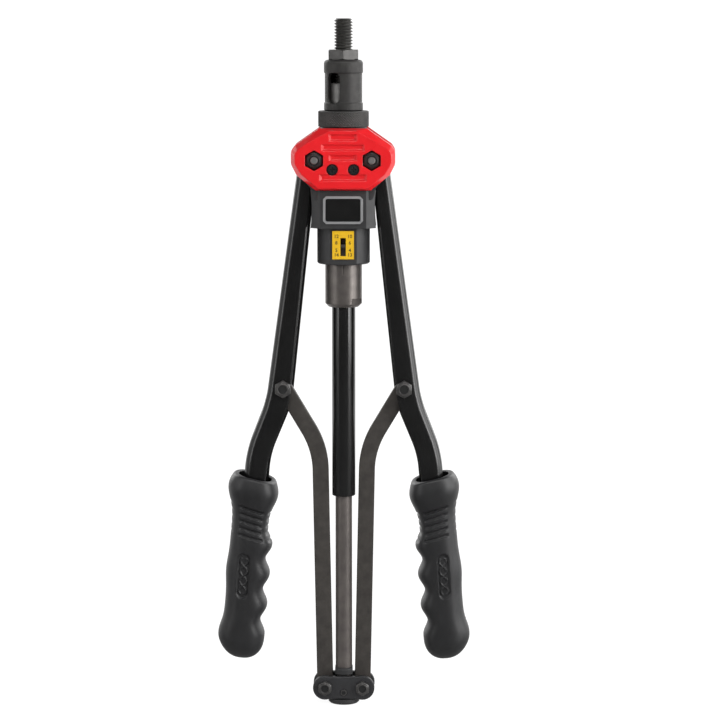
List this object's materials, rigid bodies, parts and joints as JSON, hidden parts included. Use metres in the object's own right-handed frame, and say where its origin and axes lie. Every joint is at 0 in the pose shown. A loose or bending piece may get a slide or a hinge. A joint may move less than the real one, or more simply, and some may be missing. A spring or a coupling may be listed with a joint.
{
  "type": "rivet nut tool",
  "caption": "Two-handed lever tool that spins a threaded mandrel into a rivet nut and pulls it to set the nut, with long gripped arms, links to a sliding yoke, and a stroke gauge.",
  "frame": {"origin": "centre of the anvil face, on the tool's axis, where a rivet nut's flange seats", "axes": "+Z along the mandrel, out of the nose; -Y out of the front cover and the gauge; +X to the right arm"},
  "size_m": [0.169, 0.0453, 0.4519],
  "materials": {
    "tool_steel": "black oxide thread",
    "black_oxide": "black oxide, satin",
    "bright_steel": "machined",
    "bronze": "machined",
    "black_casting": "satin black",
    "red_gloss": "gloss red enamel",
    "black_fastener": "black zinc",
    "label": "grey frame on black, bare",
    "gauge_yellow": "printed scale",
    "gunmetal": "turned, gunmetal",
    "gloss_black": "gloss black",
    "grey_steel": "drawn, grey",
    "black_enamel": "satin black enamel",
    "grip_rubber": "charcoal moulded rubber",
    "phosphate_steel": "phosphated, matte"
  },
  "bodies": {
    "head": {"anvil": "black_oxide", "nose_sleeve": "black_oxide", "head_body": "black_casting", "front_cover": "red_gloss", "rear_cover": "red_gloss", "front_screws": "black_fastener", "rear_screws": "black_fastener", "pivot_bolts": "black_fastener", "pivot_nuts": "black_fastener", "label_plate": "label", "gauge_scale": "gauge_yellow", "return_spring": "bright_steel"},
    "lock_ring": {"lock_ring": "black_oxide"},
    "draw": {"thrust_ring": "bright_steel"},
    "spindle": {"mandrel": "tool_steel", "drive_chuck": "black_oxide", "draw_shaft": "bright_steel", "spiral_nut": "bronze"},
    "stroke_carrier": {"gauge_pointer": "black_fastener"},
    "stroke_sleeve": {"adjusting_sleeve": "gunmetal", "guide_tube": "gloss_black"},
    "left_lever": {"left_arm": "black_enamel", "left_bush": "bronze", "left_grip": "grip_rubber", "left_link_bolt": "black_fastener", "left_link_nut": "black_fastener", "left_link_spacers": "bright_steel"},
    "left_link": {"left_link": "phosphate_steel"},
    "yoke": {"push_rod": "grey_steel", "rod_collar": "black_casting", "yoke_hub": "black_casting", "yoke_front_plate": "black_casting", "yoke_rear_plate": "black_casting", "yoke_bolts": "black_fastener", "yoke_nuts": "black_fastener", "yoke_spacers": "bright_steel", "yoke_pin": "black_fastener"},
    "right_lever": {"right_arm": "black_enamel", "right_bush": "bronze", "right_grip": "grip_rubber", "right_link_bolt": "black_fastener", "right_link_nut": "black_fastener", "right_link_spacers": "bright_steel"},
    "right_link": {"right_link": "phosphate_steel"}
  },
  "joints": [
    {"name": "left_lever_open", "type": "hinge", "parent": "head", "child": "left_lever", "pos_m": [-0.0185, 0, -0.0705], "axis": [0, 1, 0], "range_deg": [0, 30]},
    {"name": "left_link_swing", "type": "hinge", "parent": "left_lever", "child": "left_link", "pos_m": [-0.0396, 0, -0.22], "axis": [0, 1, 0], "range_deg": [-51.75, 0]},
    {"name": "yoke_lift", "type": "hinge", "parent": "left_link", "child": "yoke", "pos_m": [-0.0124, 0, -0.4205], "axis": [0, 1, 0], "range_deg": [0, 21.75]},
    {"name": "right_lever_open", "type": "hinge", "parent": "head", "child": "right_lever", "pos_m": [0.0185, 0, -0.0705], "axis": [0, 1, 0], "range_deg": [-30, 0]},
    {"name": "right_link_swing", "type": "hinge", "parent": "right_lever", "child": "right_link", "pos_m": [0.0396, 0, -0.22], "axis": [0, 1, 0], "range_deg": [0, 51.75]},
    {"name": "draw_stroke", "type": "slide", "parent": "head", "child": "draw", "axis": [0, 0, 1], "range_m": [0, 0.006], "deforming": ["return_spring"]},
    {"name": "spindle_spin", "type": "hinge", "parent": "draw", "child": "spindle", "pos_m": [0, 0, 0], "axis": [0, 0, 1], "range_deg": [0, 540]},
    {"name": "stroke_screw", "type": "slide", "parent": "head", "child": "stroke_carrier", "axis": [0, 0, -1], "range_m": [0, 0.0045]},
    {"name": "sleeve_turn", "type": "hinge", "parent": "stroke_carrier", "child": "stroke_sleeve", "pos_m": [0, 0, 0], "axis": [0, 0, 1], "range_deg": [0, 1080]},
    {"name": "lock_ring_turn", "type": "hinge", "parent": "head", "child": "lock_ring", "pos_m": [0, 0, 0], "axis": [0, 0, 1], "continuous": true}
  ],
  "couplings": [
    {"joint": "left_link_swing", "follows": "left_lever_open", "ratio": -1.725},
    {"joint": "yoke_lift", "follows": "left_lever_open", "ratio": 0.725},
    {"joint": "right_lever_open", "follows": "left_lever_open", "ratio": -1},
    {"joint": "right_link_swing", "follows": "left_lever_open", "ratio": 1.725},
    {"joint": "spindle_spin", "follows": "left_lever_open", "ratio": 18},
    {"joint": "stroke_screw", "follows": "sleeve_turn", "m_per_rad": 0.00023873}
  ]
}
